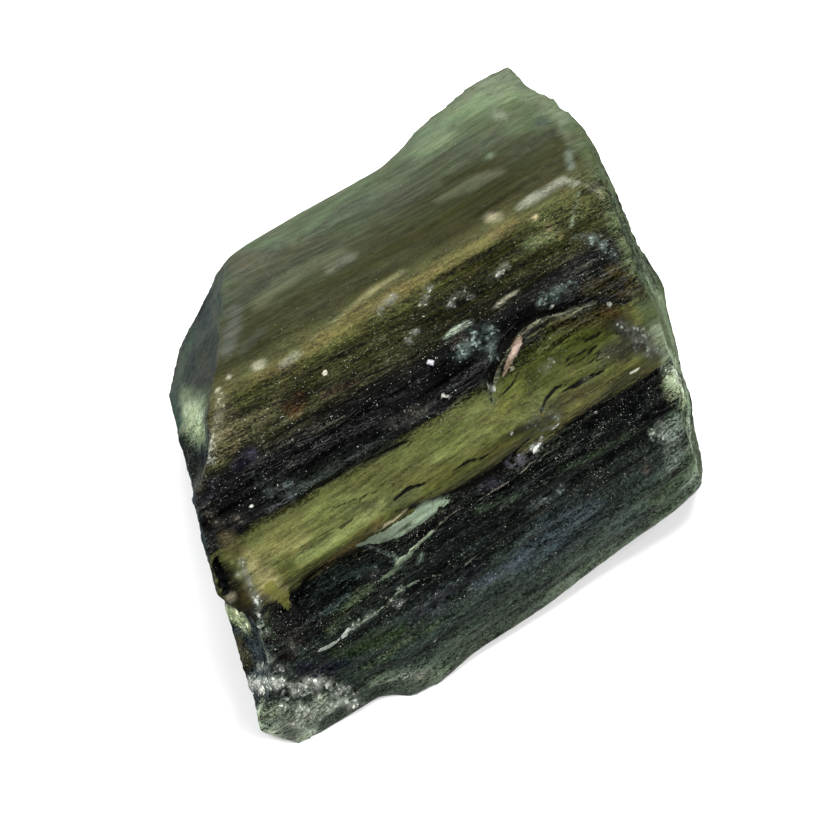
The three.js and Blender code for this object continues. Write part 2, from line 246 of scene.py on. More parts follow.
# Soft marks of colour in the glass. Each has its name, its colour, how far it stands proud in mm, and its
# path in the grain frame's X and Y with its half-width there, all in mm. Later marks lie over earlier ones.
STAINS = [
    # thin edges and far faces
    ("apex", "#617054", 0, [(4.05, 7.2, 0.19), (5.7, 7.4, 0.5), (7.15, 7.4, 0.62)]),
    ("apex face", "#454f38", 0, [(5.8, 7, 0.43), (7.8, 6.25, 0.68)]),
    ("upper edge", "#4b5540", 0, [
        (-2.25, 7.4, 0.15), (-0.25, 7.5, 0.15), (1.5, 7.3, 0.19), (3.25, 7.35, 0.19)
    ]),
    ("upper right edge", "#59634c", 0, [(8, 7.05, 0.28), (8.45, 5.85, 0.31), (8.55, 4.8, 0.28)]),
    ("right edge", "#3e472f", 0, [
        (8.55, 5.3, 0.25), (8.55, 3.9, 0.28), (8.3, 2.7, 0.28), (8.05, 1.65, 0.28), (7.8, 0.65, 0.25),
        (7.6, -0.25, 0.25), (7.3, -1.6, 0.25)
    ]),
    ("right edge low", "#55614c", 0, [(8.1, -0.3, 0.37), (7.9, -1.65, 0.37), (7.75, -2.7, 0.28)]),
    ("right rim light", "#6d7863", 0, [(7.4, -1.55, 0.19), (7.4, -2.35, 0.22), (7.6, -3.2, 0.25)]),
    ("right low edge", "#727e69", 0, [(7.25, -4.15, 0.4), (6.7, -5.15, 0.56), (6.2, -6.2, 0.53)]),
    ("right foot edge", "#4a5545", 0, [
        (5.65, -6.75, 0.37), (3.65, -6.95, 0.34), (1.8, -7.1, 0.28), (0.2, -7.1, 0.25)
    ]),
    ("left green window", "#65725a", 0, [(-6.65, 4.25, 0.37), (-6.5, 3.5, 0.74), (-6.45, 2.95, 0.37)]),
    ("window glow", "#7f8c72", 0, [(-6.5, 3.95, 0.31), (-6.35, 3.4, 0.37)]),
    ("left rim dark", "#2b3630", 0, [(-6.75, 4.7, 0.37), (-7.1, 3.55, 0.37)]),
    ("left end face", "#303a32", 0, [(-6.2, 5.1, 0.5), (-5.3, 5.9, 0.43)]),
    ("left end dark", "#181d1e", 0, [(-4.65, 6.5, 0.37), (-3.95, 6.85, 0.43), (-3.3, 7.25, 0.25)]),
    ("left end gleam", "#44473d", 0, [(-4.5, 4.8, 0.25), (-4, 5.3, 0.28), (-3.6, 5.75, 0.22)]),
    ("left end corner", "#363b33", 0, [(-3.7, 7.05, 0.31), (-3.2, 7.1, 0.25)]),
    ("left end streak", "#33362a", 0, [(-4.05, 4.55, 0.12), (-3.2, 4.8, 0.19)]),
    ("left lower dark", "#131817", 0, [(-7.25, 3, 0.43), (-7.2, 2.4, 0.43), (-7.2, 1.75, 0.22)]),
    ("nose rim", "#6f6d59", 0, [(-6.45, 2.5, 0.12), (-6.95, 1.95, 0.12), (-7.3, 1.45, 0.09)]),
    ("lower edge", "#5a6555", 0, [(-5.9, -6.6, 0.22), (-4.85, -6.95, 0.28), (-3.95, -7.3, 0.25)]),
    ("lower edge spot", "#8d9185", 0, [(-4.9, -6.95, 0.12), (-4.45, -7.1, 0.09)]),
    ("slope dark", "#060909", 0, [(-4.05, -4.75, 0.28), (-2.5, -4.9, 0.37), (-1, -4.95, 0.31)]),
    ("blue face", "#2e373b", 0, [(0.15, -5.65, 0.4), (1.15, -5.45, 0.62), (2.6, -5.4, 0.5)]),
    ("green face", "#303a33", 0, [(3, -6.3, 0.5), (4.65, -6.05, 0.62), (6.05, -5.6, 0.43)]),
    ("far right face", "#394332", 0, [(4.85, -6.3, 0.31), (6.35, -5.8, 0.37)]),
    ("grey patch b", "#5d675d", 0, [(6.5, -4.3, 0.28), (6.25, -4.9, 0.34), (5.8, -5.45, 0.28)]),
    ("pink patch", "#503f39", 0, [(5, -5.25, 0.11)]),
    # the upper faces
    ("upper dark streak", "#2a2a16", 0, [(4.25, 5.95, 0.15), (5.7, 5.6, 0.19), (6.2, 5.6, 0.12)]),
    ("upper dark streak b", "#2c2d1a", 0, [(-1.9, 4.6, 0.15), (-0.2, 4.7, 0.19), (1.65, 4.45, 0.15)]),
    ("upper dark streak c", "#2d2f1a", 0, [(3.1, 5.15, 0.15), (4.4, 5.25, 0.15)]),
    ("upper grey streak", "#484a38", 0, [(3.75, 5.5, 0.15), (5, 5.45, 0.19), (5.85, 5.25, 0.12)]),
    ("far glow", "#3d4131", 0, [(-3.05, 6.25, 0.43), (-1.6, 6.45, 0.5), (0.15, 6.25, 0.37)]),
    ("upper grey streak b", "#4b4e3b", 0, [(-2.85, 5.65, 0.28), (-1.25, 5.8, 0.31), (0.2, 5.7, 0.22)]),
    ("far blotch", "#454638", 0, [(-2.85, 7.1, 0.28), (-2.05, 6.85, 0.37)]),
    ("far blotch b", "#33372a", 0, [(-3.1, 6, 0.25), (-2.45, 6.1, 0.25)]),
    ("far blotch c", "#35392a", 0, [(-1.2, 6.15, 0.22), (0.15, 6.05, 0.25)]),
    ("far blotch d", "#505142", 0, [(-0.35, 5.4, 0.19), (0.45, 5.4, 0.15)]),
    ("apex spot", "#5f6955", 0, [(5.85, 5.9, 0.12)]),
    ("apex spot b", "#626c5a", 0, [(6.75, 7, 0.15), (6.9, 6.75, 0.12)]),
    ("apex spot c", "#566053", 0, [(8.05, 4.7, 0.12), (7.85, 4.25, 0.09)]),
    ("teal spot", "#3b453c", 0, [(7.85, 6, 0.22)]),
    ("grey line", "#666446", 0, [(-2, 3.7, 0.06), (0.5, 4.1, 0.09), (1.55, 4.1, 0.06)]),
    ("yellow line", "#55512f", 0, [
        (-4.15, 3.6, 0.15), (-2.55, 3.5, 0.19), (-0.6, 3.7, 0.19), (1.2, 3.65, 0.19), (3.4, 3.7, 0.15),
        (5.35, 3.7, 0.12)
    ]),
    ("line spots", "#757360", 0, [(-3.15, 3.55, 0.08), (-2.65, 3.55, 0.09)]),
    ("line spot b", "#6b6955", 0, [(-3.95, 3.9, 0.08)]),
    ("line spot c", "#6b6853", 0, [(4.8, 4.15, 0.15), (5.05, 4.05, 0.12)]),
    ("facet floor", "#434627", 0, [(6.2, 3.15, 0.28), (6.9, 3.25, 0.43), (7.7, 2.85, 0.34)]),
    ("facet lip", "#767a69", 0.03, [
        (5.75, 3.95, 0.09), (6.35, 4, 0.12), (6.9, 4, 0.12), (7.4, 4, 0.12), (7.7, 3.7, 0.09)
    ]),
    ("facet lip b", "#646552", 0.02, [(8, 3.45, 0.09), (8.15, 3.2, 0.12), (8.15, 2.9, 0.06)]),
    ("facet edge", "#8f7d58", 0.02, [(6.05, 3.45, 0.03), (6.2, 2.9, 0.03), (6.4, 2.45, 0.02)]),
    ("facet knot", "#a89a7c", 0, [(6, 3.45, 0.08)]),
    ("facet side", "#5c6651", 0.02, [(7.65, 3.4, 0.05), (7.25, 3.05, 0.06), (6.85, 2.6, 0.06)]),
    ("green hollow", "#3e4429", 0, [(5.55, 2.85, 0.25), (6.15, 2.65, 0.28)]),
    # the brown slope
    ("slope left end", "#413f2a", 0, [(-5.3, 3.8, 0.31), (-5.7, 2.8, 0.43), (-6.35, 2.05, 0.28)]),
    ("slope left low", "#42402b", 0, [(-6.2, 2.05, 0.25), (-5.65, 2.2, 0.25), (-5, 2.3, 0.22)]),
    ("slope left light", "#403e29", 0, [(-5.25, 2.4, 0.28), (-4.55, 2.45, 0.28), (-3.85, 2.5, 0.22)]),
    ("rust", "#2a1d0c", 0, [(-3.7, 2.4, 0.19), (-3.6, 2.05, 0.22), (-3.2, 2.4, 0.19)]),
    ("rust b", "#251a11", 0, [(-2.6, 2.05, 0.09), (-1.8, 1.95, 0.09), (-1.35, 1.85, 0.06)]),
    ("slope pale", "#686655", 0.01, [(-3.2, 3.5, 0.09), (-2.85, 3.55, 0.12), (-2.6, 3.55, 0.09)]),
    ("slope fleck b", "#a8a692", 0.02, [(-4.85, 4.05, 0.06)]),
    ("slope fleck c", "#a0a48f", 0.02, [(-5.3, 3.9, 0.06)]),
    ("slope fleck d", "#afb4a5", 0.02, [(-6.5, 2.35, 0.09), (-6.6, 2.1, 0.09)]),
    ("slope fleck e", "#8b8a76", 0, [(-3.7, 3.9, 0.12), (-3.95, 3.9, 0.09)]),
    # the black ridge
    ("black core", "#040406", 0, [
        (-7.25, 1.25, 0.28), (-5.8, 1.3, 0.34), (-3.25, 0.95, 0.4), (-1, 0.75, 0.5), (1.3, 0.55, 0.4)
    ]),
    ("black core right", "#030403", 0, [
        (4.5, 1.25, 0.15), (5.55, 1.25, 0.37), (6.6, 1.15, 0.4), (7.4, 1.15, 0.25)
    ]),
    ("purple glints", "#0a0813", 0, [(-5.8, 1.6, 0.25), (-5.4, 1.7, 0.22)]),
    ("ridge veil", "#191e1a", 0, [
        (-5.45, 0.35, 0.25), (-4.6, 0, 0.28), (-3.55, -0.05, 0.28), (-2.5, -0.2, 0.28),
        (-1.5, -0.35, 0.15)
    ]),
    ("nose foot", "#3a3720", 0, [(-7.35, -0.2, 0.22), (-7.25, -0.8, 0.28)]),
    ("glossy patch", "#1c2521", 0, [(4.85, 1.05, 0.19), (5.25, 0.95, 0.22)]),
    ("tip brown", "#231f0d", 0, [(6.25, 0.6, 0.22), (7, 0.3, 0.28), (7.65, -0.25, 0.25)]),
    ("tip brown b", "#332e16", 0, [(7.15, 0.75, 0.15), (7.45, 0.35, 0.19)]),
    ("tip shadow", "#080909", 0, [
        (3.3, 1.15, 0.19), (4.3, 1.3, 0.22), (5.25, 1.45, 0.28), (6.45, 1.5, 0.34), (7.4, 1.45, 0.25)
    ]),
    ("crushed patch", "#161d1a", 0, [
        (1.65, 1.3, 0.25), (2.3, 1.3, 0.34), (2.85, 1.15, 0.28), (2.65, 0.55, 0.25)
    ]),
    ("crushed lip", "#717d70", 0.05, [(1.65, 1.6, 0.09), (2.05, 1.7, 0.12), (2.45, 1.65, 0.12)]),
    ("crushed brown", "#423c35", 0.02, [(1.75, 1.25, 0.15), (2.05, 1.25, 0.15)]),
    ("slope pale edge", "#80806e", 0.02, [(3.55, 1.65, 0.09), (3.85, 1.7, 0.09), (4.2, 1.7, 0.09)]),
    # the olive band
    ("band light", "#5d6237", 0, [(-0.4, -1.35, 0.22), (0.35, -1.45, 0.25), (1.3, -1.55, 0.19)]),
    ("band shade", "#43472a", 0, [(-3.7, -1.55, 0.25), (-2.7, -1.85, 0.25), (-1.65, -2.1, 0.22)]),
    ("band light b", "#5e6339", 0, [(-5.55, -0.95, 0.12), (-4.1, -0.95, 0.15), (-2.75, -1.2, 0.12)]),
    ("band light c", "#63693e", 0, [(-5.8, -1.95, 0.19), (-4.35, -1.95, 0.19), (-2.8, -1.8, 0.15)]),
    ("band pale tip", "#77734c", 0, [(-7.15, -1.15, 0.22), (-7.05, -1.9, 0.34), (-6.95, -2.5, 0.28)]),
    ("band pale tip b", "#68683f", 0, [(-6.4, -1.2, 0.31), (-5.45, -1.4, 0.28)]),
    ("foot dark", "#1a190f", 0, [
        (1.55, -2, 0.09), (2.15, -2.05, 0.15), (2.95, -2.2, 0.15), (3.65, -2.2, 0.12)
    ]),
    ("band tan foot", "#534a2a", 0, [(-5.35, -2.45, 0.09), (-4.3, -2.45, 0.12), (-3.15, -2.2, 0.09)]),
    # the shell-shaped chip
    ("chip", "#353a17", 0, [
        (2.5, -1.15, 0.43), (3.35, -0.65, 0.68), (4.8, -0.65, 0.81), (6.15, -0.8, 0.56)
    ]),
    ("chip low", "#4c5024", 0, [(2, -1.2, 0.28), (2.65, -0.85, 0.37)]),
    ("chip foot", "#34331d", 0, [(3.3, -1.95, 0.19), (4.65, -2.1, 0.22), (5.85, -2.25, 0.15)]),
    ("chip top", "#2e2c16", 0, [(4.95, 0.2, 0.25), (6.1, -0.3, 0.34), (6.7, -0.85, 0.28)]),
    ("chip rust", "#342a13", 0, [(6.3, -0.25, 0.12), (6.6, -0.45, 0.15)]),
    # The chip's rim stands a little proud, and these pale arcs along it are a painted highlight.
    ("chip rim", "#6d6d56", 0.04, [
        (2.25, -0.3, 0.05), (2.75, 0.2, 0.08), (3.45, 0.55, 0.08), (4.3, 0.6, 0.06), (5.05, 0.5, 0.06)
    ]),
    ("chip rim c", "#60634e", 0.03, [(5.05, 0.4, 0.06), (5.65, 0.2, 0.08), (6.15, 0.15, 0.08)]),
    ("grey end", "#2c2b22", 0.01, [(5.75, -1.35, 0.22), (6.15, -1.55, 0.31), (6.55, -1.6, 0.22)]),
    ("gritty floor", "#26261d", 0, [(6.45, -0.85, 0.28), (6.75, -1.45, 0.37), (7, -2.05, 0.31)]),
    # the right end
    ("right knob", "#7f8c6d", 0.03, [(7.05, -3.1, 0.22), (7.05, -3.55, 0.37), (7.15, -4, 0.28)]),
    ("right knob rim", "#98a28f", 0.02, [(7.25, -2.85, 0.08), (7.4, -3.35, 0.08)]),
    ("right rim", "#6f7a67", 0.02, [(7.2, -1.75, 0.06), (7.2, -2.3, 0.08), (7.15, -2.7, 0.06)]),
    # the white chips
    ("chip white h", "#a2a69d", 0.04, [(-3.9, -4.75, 0.12)]),
    ("chip white i", "#8e928a", 0.03, [(-4.1, -3.5, 0.08)]),
    ("chip white j", "#7c837c", 0.03, [(-1.75, -5.55, 0.08)]),
    # the lower slope
    ("sliver tail", "#6b776e", 0.02, [
        (-4, -2.45, 0.03), (-3.65, -2.9, 0.04), (-3.35, -3.25, 0.04), (-3.2, -3.55, 0.02)
    ]),
    # Painted shade: the dark blue-green inside the pocket's hollow.
    ("pocket", "#161f1d", 0, [(-5.95, -3.1, 0.31), (-5.05, -3.1, 0.43), (-4, -3.3, 0.25)]),
    ("pocket light", "#2e3b35", 0, [(-6, -3.8, 0.12), (-5.15, -3.8, 0.15)]),
    ("pocket line", "#353e40", 0.02, [(-6.8, -3.75, 0.03), (-6, -3.75, 0.06), (-5.1, -3.75, 0.05)]),
    ("ribbon top", "#3d3b2e", 0.02, [(-0.85, -3.1, 0.02), (-1.25, -3.2, 0.02), (-1.8, -3.35, 0.02)]),
    ("ribbon low", "#333c29", 0.04, [
        (-4.35, -3.85, 0.09), (-4.85, -3.85, 0.15), (-5.45, -4.1, 0.19), (-6.15, -4.3, 0.15)
    ]),
    ("leaf", "#616d62", 0.02, [(-2.5, -3.75, 0.06), (-2.65, -3.95, 0.06)]),
    ("slope blue", "#0f101a", 0, [(-7.55, -4.85, 0.19), (-7.2, -5.4, 0.25), (-6.3, -5.4, 0.19)]),
    ("slope blue b", "#0a0b11", 0, [(-3.55, -5.3, 0.28), (-2.35, -5.25, 0.31), (-1.25, -5.15, 0.25)]),
    ("slope green", "#1e2a14", 0, [(-6.45, -5.1, 0.19), (-5, -5.45, 0.28), (-3.7, -5.7, 0.19)]),
    ("slope streak", "#435039", 0.02, [(-6.1, -6, 0.06), (-4.6, -5.9, 0.09), (-3.15, -5.95, 0.06)]),
    ("slope streak b", "#2a3627", 0.02, [(-0.25, -3.55, 0.12), (0.35, -3.65, 0.15), (0.9, -3.75, 0.09)]),
    ("slope streak c", "#202b1b", 0.02, [(2.6, -3.8, 0.06), (3.95, -3.95, 0.12), (5.4, -4, 0.09)]),
    ("crumbled foot", "#181311", 0.01, [(-7.55, -3.6, 0.22), (-7.15, -3.95, 0.25), (-7.65, -4.35, 0.22)]),
    # the left end below the band
    ("end dark", "#12100a", 0, [
        (-8, -1.05, 0.37), (-8.05, -1.65, 0.4), (-8.05, -2.25, 0.28), (-7.9, -2.8, 0.25)
    ]),
    ("end olive", "#312d18", 0.01, [(-7.75, -1.85, 0.15), (-7.8, -2.2, 0.15)]),
    ("end light", "#8a8c7e", 0.02, [(-7.65, -1.35, 0.06)]),
    ("end grey", "#7c7a66", 0.02, [(-8.2, -1.85, 0.12)]),
    ("rim a glow", "#4f4d42", 0, [
        (-7.35, -1.1, 0.06), (-7.45, -1.5, 0.09), (-7.55, -2, 0.12), (-7.55, -2.4, 0.09)
    ]),
    ("end knob", "#737f5d", 0.06, [(-8.7, -2.25, 0.22), (-8.5, -2.5, 0.34), (-8.4, -2.9, 0.25)]),
    ("rim b", "#70796d", 0.04, [
        (-7.65, -2.5, 0.09), (-7.85, -3.05, 0.12), (-8.1, -3.65, 0.14), (-8.25, -4.2, 0.14)
    ]),
    ("end lower face", "#272615", 0.01, [(-8.9, -3.25, 0.28), (-9.05, -4, 0.28)]),
    ("crush", "#717973", 0.03, [(-9.15, -4.4, 0.12), (-8.95, -4.75, 0.19), (-8.45, -4.85, 0.12)]),
    ("crushed corner", "#646d5b", 0.04, [
        (-9.25, -5.65, 0.34), (-8.75, -5.85, 0.4), (-8.35, -6.25, 0.5), (-7.6, -6.35, 0.34)
    ]),
    ("crushed cream", "#aab197", 0.04, [(-7.75, -5.95, 0.09), (-7.55, -6.1, 0.12)]),
    ("corner glow", "#8a9580", 0.02, [
        (-9.3, -5.3, 0.19), (-9.55, -5.95, 0.25), (-9.3, -6.5, 0.22), (-8.45, -6.85, 0.22)
    ]),
]

# Flakes, chips and cracks, which have crisp, broken edges.
FLAKES = [
    # the brown slope
    ("slope fleck", "#b4b29f", 0.03, [(-2.3, 2.5, 0.05), (-2.15, 2.6, 0.08)]),
    ("hair fibre", "#636357", 0.02, [(-4.2, 1.7, 0.02), (-4.1, 1.35, 0.02), (-4, 1.05, 0.02)]),
    # the black ridge
    ("ridge chips", "#b4b1b7", 0.03, [(0.75, 1.25, 0.06), (0.85, 1.15, 0.08)]),
    ("ridge chips b", "#afb1a7", 0.03, [(0.6, 0.15, 0.05), (0.75, 0, 0.06)]),
    ("ridge chip c", "#a2a89c", 0.03, [(2, -0.35, 0.08), (2.1, -0.55, 0.05)]),
    ("pit spark", "#b1b4ac", 0.03, [(-6.2, 0.25, 0.06)]),
    # A painted highlight: the bright line where a thin lip catches the light, raised a little.
    ("painted lip highlight", "#98a092", 0.04, [(4.6, 1.05, 0.03), (4.85, 0.95, 0.05), (5.05, 0.7, 0.03)]),
    # the olive band
    ("band crack h", "#1c1d10", -0.03, [(-5.5, -0.35, 0.02), (-5.05, -0.35, 0.03), (-4.6, -0.4, 0.02)]),
    ("band crack i", "#2a2c18", -0.02, [(-4.2, -1.1, 0.02), (-3.35, -1.25, 0.03), (-2.5, -1.4, 0.02)]),
    ("band crack j", "#15160c", -0.03, [(-1.25, -0.65, 0.02), (-1.05, -0.65, 0.03), (-0.9, -0.6, 0.02)]),
    ("band edge line", "#262512", -0.02, [
        (-2.4, -2.3, 0.02), (-1.9, -2.3, 0.03), (-1.3, -2.3, 0.03), (-0.9, -2.3, 0.02)
    ]),
    ("band crack k", "#1a1b0f", -0.03, [(0.85, -1.7, 0.02), (0.95, -1.9, 0.03), (1.2, -1.9, 0.02)]),
    ("band crack", "#090a06", -0.05, [
        (-2.45, -1.9, 0.03), (-1.75, -1.8, 0.06), (-1.3, -1.95, 0.04), (-0.9, -1.95, 0.02)
    ]),
    ("band crack b", "#12120a", -0.04, [
        (-0.25, -2.05, 0.02), (0.3, -2.05, 0.05), (0.65, -2.2, 0.03), (1.3, -2.15, 0.03)
    ]),
    ("band crack c", "#0f1009", -0.05, [(-4.95, -0.35, 0.03), (-4.2, -0.25, 0.06), (-3.3, -0.3, 0.04)]),
    ("band crack d", "#13140b", -0.04, [(-2.5, -0.4, 0.02), (-1.85, -0.45, 0.05), (-0.95, -0.55, 0.03)]),
    ("band crack e", "#242514", -0.03, [(-5.9, -2.25, 0.02), (-5.3, -2.25, 0.03), (-4.45, -2.4, 0.02)]),
    ("band crack f", "#33341b", -0.02, [(-4.25, -1.8, 0.02), (-3.75, -1.7, 0.02), (-3.25, -1.35, 0.02)]),
    ("band crack g", "#2f311a", -0.02, [(-5.6, -1.65, 0.02), (-4.55, -1.65, 0.02), (-3.15, -1.85, 0.02)]),
    ("band edge", "#080806", -0.06, [
        (-2.8, -2.1, 0.05), (-1.75, -2.45, 0.09), (-0.35, -2.7, 0.12), (1, -2.75, 0.15),
        (2.25, -2.5, 0.09)
    ]),
    ("band tip", "#686835", 0.03, [(-7, -2.3, 0.25), (-6.9, -2.7, 0.25), (-6.95, -3.05, 0.09)]),
    ("tip gap", "#050605", -0.06, [
        (-6.85, -3.05, 0.05), (-6.4, -2.9, 0.06), (-6.05, -2.6, 0.06), (-5.1, -2.5, 0.05),
        (-4.45, -2.7, 0.04)
    ]),
    # the shell-shaped chip
    ("chip shadow", "#050504", -0.1, [
        (1.85, -0.8, 0.03), (2.25, -0.1, 0.12), (2.85, 0.35, 0.15), (3.65, 0.7, 0.14),
        (4.5, 0.75, 0.11), (5.3, 0.45, 0.08)
    ]),
    # A second painted highlight: a pale arc inside the chip's rim, raised a little.
    ("chip rim b", "#4b4a33", 0.02, [(3.7, 0.3, 0.03), (4.5, 0.35, 0.04), (5.5, 0.2, 0.03)]),
    # These three marks are a painted reflection: the pale pinkish highlight inside the chip's rim. They
    # also stand a little proud.
    ("painted chip glint", "#776656", 0.03, [
        (3.55, 0.4, 0.07), (3.2, 0.15, 0.12), (2.75, -0.15, 0.08), (2.5, -0.35, 0.05)
    ]),
    ("painted chip glint light", "#b09d90", 0.03, [(3.5, 0.3, 0.06), (3.25, 0.2, 0.07), (3, 0.05, 0.04)]),
    ("painted chip glint end", "#6d6d59", 0.02, [(2.9, -0.25, 0.08)]),
    ("chip crumb", "#898f83", 0.03, [(6.55, -0.1, 0.08)]),
    ("chip crack a", "#0a0b05", -0.05, [
        (3, -1.9, 0.04), (3.3, -1.65, 0.05), (3.75, -1.5, 0.05), (4.15, -1.55, 0.03)
    ]),
    ("chip crack b", "#090905", -0.05, [
        (3.85, -1.7, 0.03), (4.35, -1.75, 0.06), (4.85, -1.75, 0.07), (5.35, -1.8, 0.05)
    ]),
    ("chip crack f", "#0b0b06", -0.04, [(2.1, -0.85, 0.03), (2.65, -0.7, 0.03), (3.05, -0.45, 0.03)]),
    ("chip line", "#1b1c0c", -0.02, [(4.5, -0.9, 0.02), (5.05, -0.95, 0.02), (5.65, -1.05, 0.02)]),
    ("chip line b", "#1f200f", -0.02, [(4.55, -1.1, 0.02), (5.05, -1.15, 0.02), (5.6, -1.25, 0.02)]),
    ("chip line c", "#1b1c0c", -0.02, [(4.55, -1.35, 0.02), (5.05, -1.35, 0.02), (5.55, -1.45, 0.02)]),
    ("chip line d", "#141509", -0.03, [(5, -0.65, 0.02), (5.4, -0.75, 0.03), (5.8, -0.8, 0.02)]),
    ("chip line e", "#16170b", -0.03, [(4, -0.15, 0.02), (4.3, -0.2, 0.03), (4.7, -0.35, 0.02)]),
    ("chip crack c", "#0c0d08", -0.04, [
        (5.05, -0.45, 0.03), (5.45, -0.7, 0.04), (5.8, -0.7, 0.03), (6.3, -1.05, 0.03),
        (6.65, -1.15, 0.04)
    ]),
    ("chip crack d", "#1b1b0c", -0.03, [(3.9, -0.35, 0.04), (4.45, -0.35, 0.05), (5, -0.3, 0.04)]),
    ("chip crack e", "#161709", -0.03, [(4.3, -0.85, 0.02), (4.35, -1.15, 0.02), (4.3, -1.4, 0.02)]),
    ("chip scratch a", "#0c0d06", -0.04, [(4.5, -0.95, 0.03), (5.65, -1.15, 0.03)]),
    ("chip scratch b", "#0c0d06", -0.04, [(4.4, -1.05, 0.03), (5.5, -1.3, 0.03)]),
    ("chip scratch c", "#0c0d06", -0.04, [(4.4, -1.25, 0.03), (5.35, -1.4, 0.03)]),
    ("chip scratch d", "#0f1008", -0.04, [(4.65, -0.85, 0.02), (5.6, -1.05, 0.02)]),
    ("chip hair", "#93927d", 0.02, [(5.55, -1.35, 0.02), (5.8, -1.7, 0.02), (6.2, -2.1, 0.02)]),
    ("gritty hole", "#040505", -0.1, [(6.65, -1.65, 0.08)]),
    ("cream fleck", "#c0bfae", 0.04, [(6.05, -2.3, 0.06), (6.3, -2.3, 0.08)]),
    # the white chips
    ("chip white a", "#e6e9e2", 0.05, [(2.45, -2.7, 0.03), (2.25, -2.8, 0.07), (2.1, -2.9, 0.02)]),
    ("chip white b", "#d5d8d2", 0.05, [(3.3, -2.45, 0.03), (3.1, -2.55, 0.06)]),
    ("chip white c", "#8c9088", 0.04, [(1.85, -2, 0.05), (1.9, -1.95, 0.03)]),
    ("chip white d", "#b7baa8", 0.03, [(1.4, -1.95, 0.06)]),
    ("chip white e", "#989c95", 0.03, [(4.3, -2.75, 0.03), (4.5, -2.8, 0.04)]),
    ("chip white f", "#6d716e", 0.03, [(3.25, -4.4, 0.05)]),
    ("chip white g", "#6d716e", 0.03, [(3.2, -4.7, 0.05)]),
    ("chip white k", "#9fa39c", 0.03, [(-1.55, -4.25, 0.06)]),
    ("chip white l", "#a3a7a0", 0.03, [(-3.6, -6.4, 0.06)]),
    # the lower slope
    ("slope line", "#605c52", 0.04, [
        (-1.35, -3.15, 0.02), (-0.05, -3.25, 0.02), (0.85, -3.25, 0.02), (1.6, -3.2, 0.03),
        (1.9, -3.1, 0.03), (2.25, -3.2, 0.02)
    ]),
    ("slope line b", "#63675a", 0.03, [(-1.5, -4.8, 0.02), (-1.15, -4.75, 0.03), (-0.75, -4.7, 0.02)]),
    ("ridge rib", "#3b3a31", 0.02, [(-3.35, 1.15, 0.02), (-2.5, 1.15, 0.02), (-1.55, 1.05, 0.02)]),
    ("ridge rib b", "#434236", 0.02, [(-2.4, 1.65, 0.02), (-2, 1.6, 0.02), (-1.6, 1.6, 0.02)]),
    ("ridge crack", "#040404", -0.03, [(-1.6, 1.9, 0.02), (-0.75, 1.8, 0.04), (0, 1.7, 0.02)]),
    ("ridge crack b", "#040404", -0.03, [(-1.6, 1.55, 0.02), (-0.55, 1.5, 0.04), (0.55, 1.45, 0.02)]),
    ("ridge crack c", "#040404", -0.03, [(-3.55, 1.55, 0.02), (-2.55, 1.55, 0.04), (-1.55, 1.45, 0.02)]),
    ("ridge crack d", "#040404", -0.03, [(-4.8, 1.65, 0.02), (-3.95, 1.7, 0.04), (-3.05, 1.7, 0.02)]),
    ("ridge crack e", "#040404", -0.03, [(-4.3, 1.15, 0.02), (-3.25, 1.1, 0.04), (-2.1, 1.05, 0.02)]),
    ("band edge crack", "#060605", -0.03, [(-3, -0.3, 0.02), (-2.6, -0.35, 0.04), (-2.15, -0.35, 0.02)]),
    ("band edge crack b", "#060605", -0.03, [
        (-1.95, -0.4, 0.02), (-1.5, -0.45, 0.04), (-1.1, -0.45, 0.02)
    ]),
    ("band edge crack c", "#060605", -0.03, [
        (-4.2, -0.35, 0.02), (-3.75, -0.35, 0.03), (-3.25, -0.35, 0.02)
    ]),
    ("sliver", "#7c8b76", 0.08, [
        (-4.05, -2.45, 0.05), (-3.45, -2.6, 0.22), (-2.75, -2.65, 0.31), (-2.15, -2.65, 0.28),
        (-1.55, -2.6, 0.25), (-1.25, -2.65, 0.15), (-1, -2.75, 0.08), (-0.6, -2.95, 0.02)
    ]),
    ("sliver fleck", "#4c5749", 0.06, [(-3.4, -2.75, 0.02), (-2.9, -2.75, 0.04), (-2.45, -2.75, 0.02)]),
    ("sliver fleck b", "#505b4d", 0.06, [(-2.6, -2.9, 0.02), (-2, -2.85, 0.04), (-1.4, -2.85, 0.02)]),
    ("sliver tan", "#918b6d", 0.03, [
        (-3.4, -2.4, 0.03), (-3, -2.4, 0.06), (-2.65, -2.4, 0.05), (-2.2, -2.35, 0.02)
    ]),
    ("sliver crack", "#343d31", -0.03, [(-2.8, -2.75, 0.03), (-2.4, -2.75, 0.06)]),
    ("ribbon", "#485342", 0.03, [
        (-1.8, -3.35, 0.02), (-2.3, -3.45, 0.05), (-2.8, -3.6, 0.06), (-3.2, -3.65, 0.08),
        (-3.6, -3.8, 0.09), (-4.05, -3.8, 0.05)
    ]),
    ("ribbon rim", "#8b9480", 0.05, [
        (-1.25, -3.2, 0.02), (-1.75, -3.3, 0.02), (-2.3, -3.4, 0.02), (-2.85, -3.5, 0.02),
        (-3.3, -3.6, 0.02)
    ]),
    ("slope crack", "#77836f", 0.04, [
        (-0.9, -4.65, 0.02), (-1.45, -4.8, 0.02), (-2.35, -4.65, 0.02), (-3.05, -4.45, 0.02),
        (-3.6, -4.4, 0.04), (-4.05, -4.5, 0.02), (-4.45, -4.6, 0.03), (-5.2, -4.65, 0.04),
        (-5.55, -4.65, 0.02)
    ]),
    ("slope crack b", "#b2baaf", 0.05, [(-5.65, -4.6, 0.05), (-5.9, -4.7, 0.11)]),
    ("slope crack c", "#959e91", 0.05, [(-6.15, -4.75, 0.05), (-6.5, -4.75, 0.09), (-6.85, -4.7, 0.05)]),
    # the left end below the band
    # The hole is sunk 0.2 mm, and its near-black is painted shade.
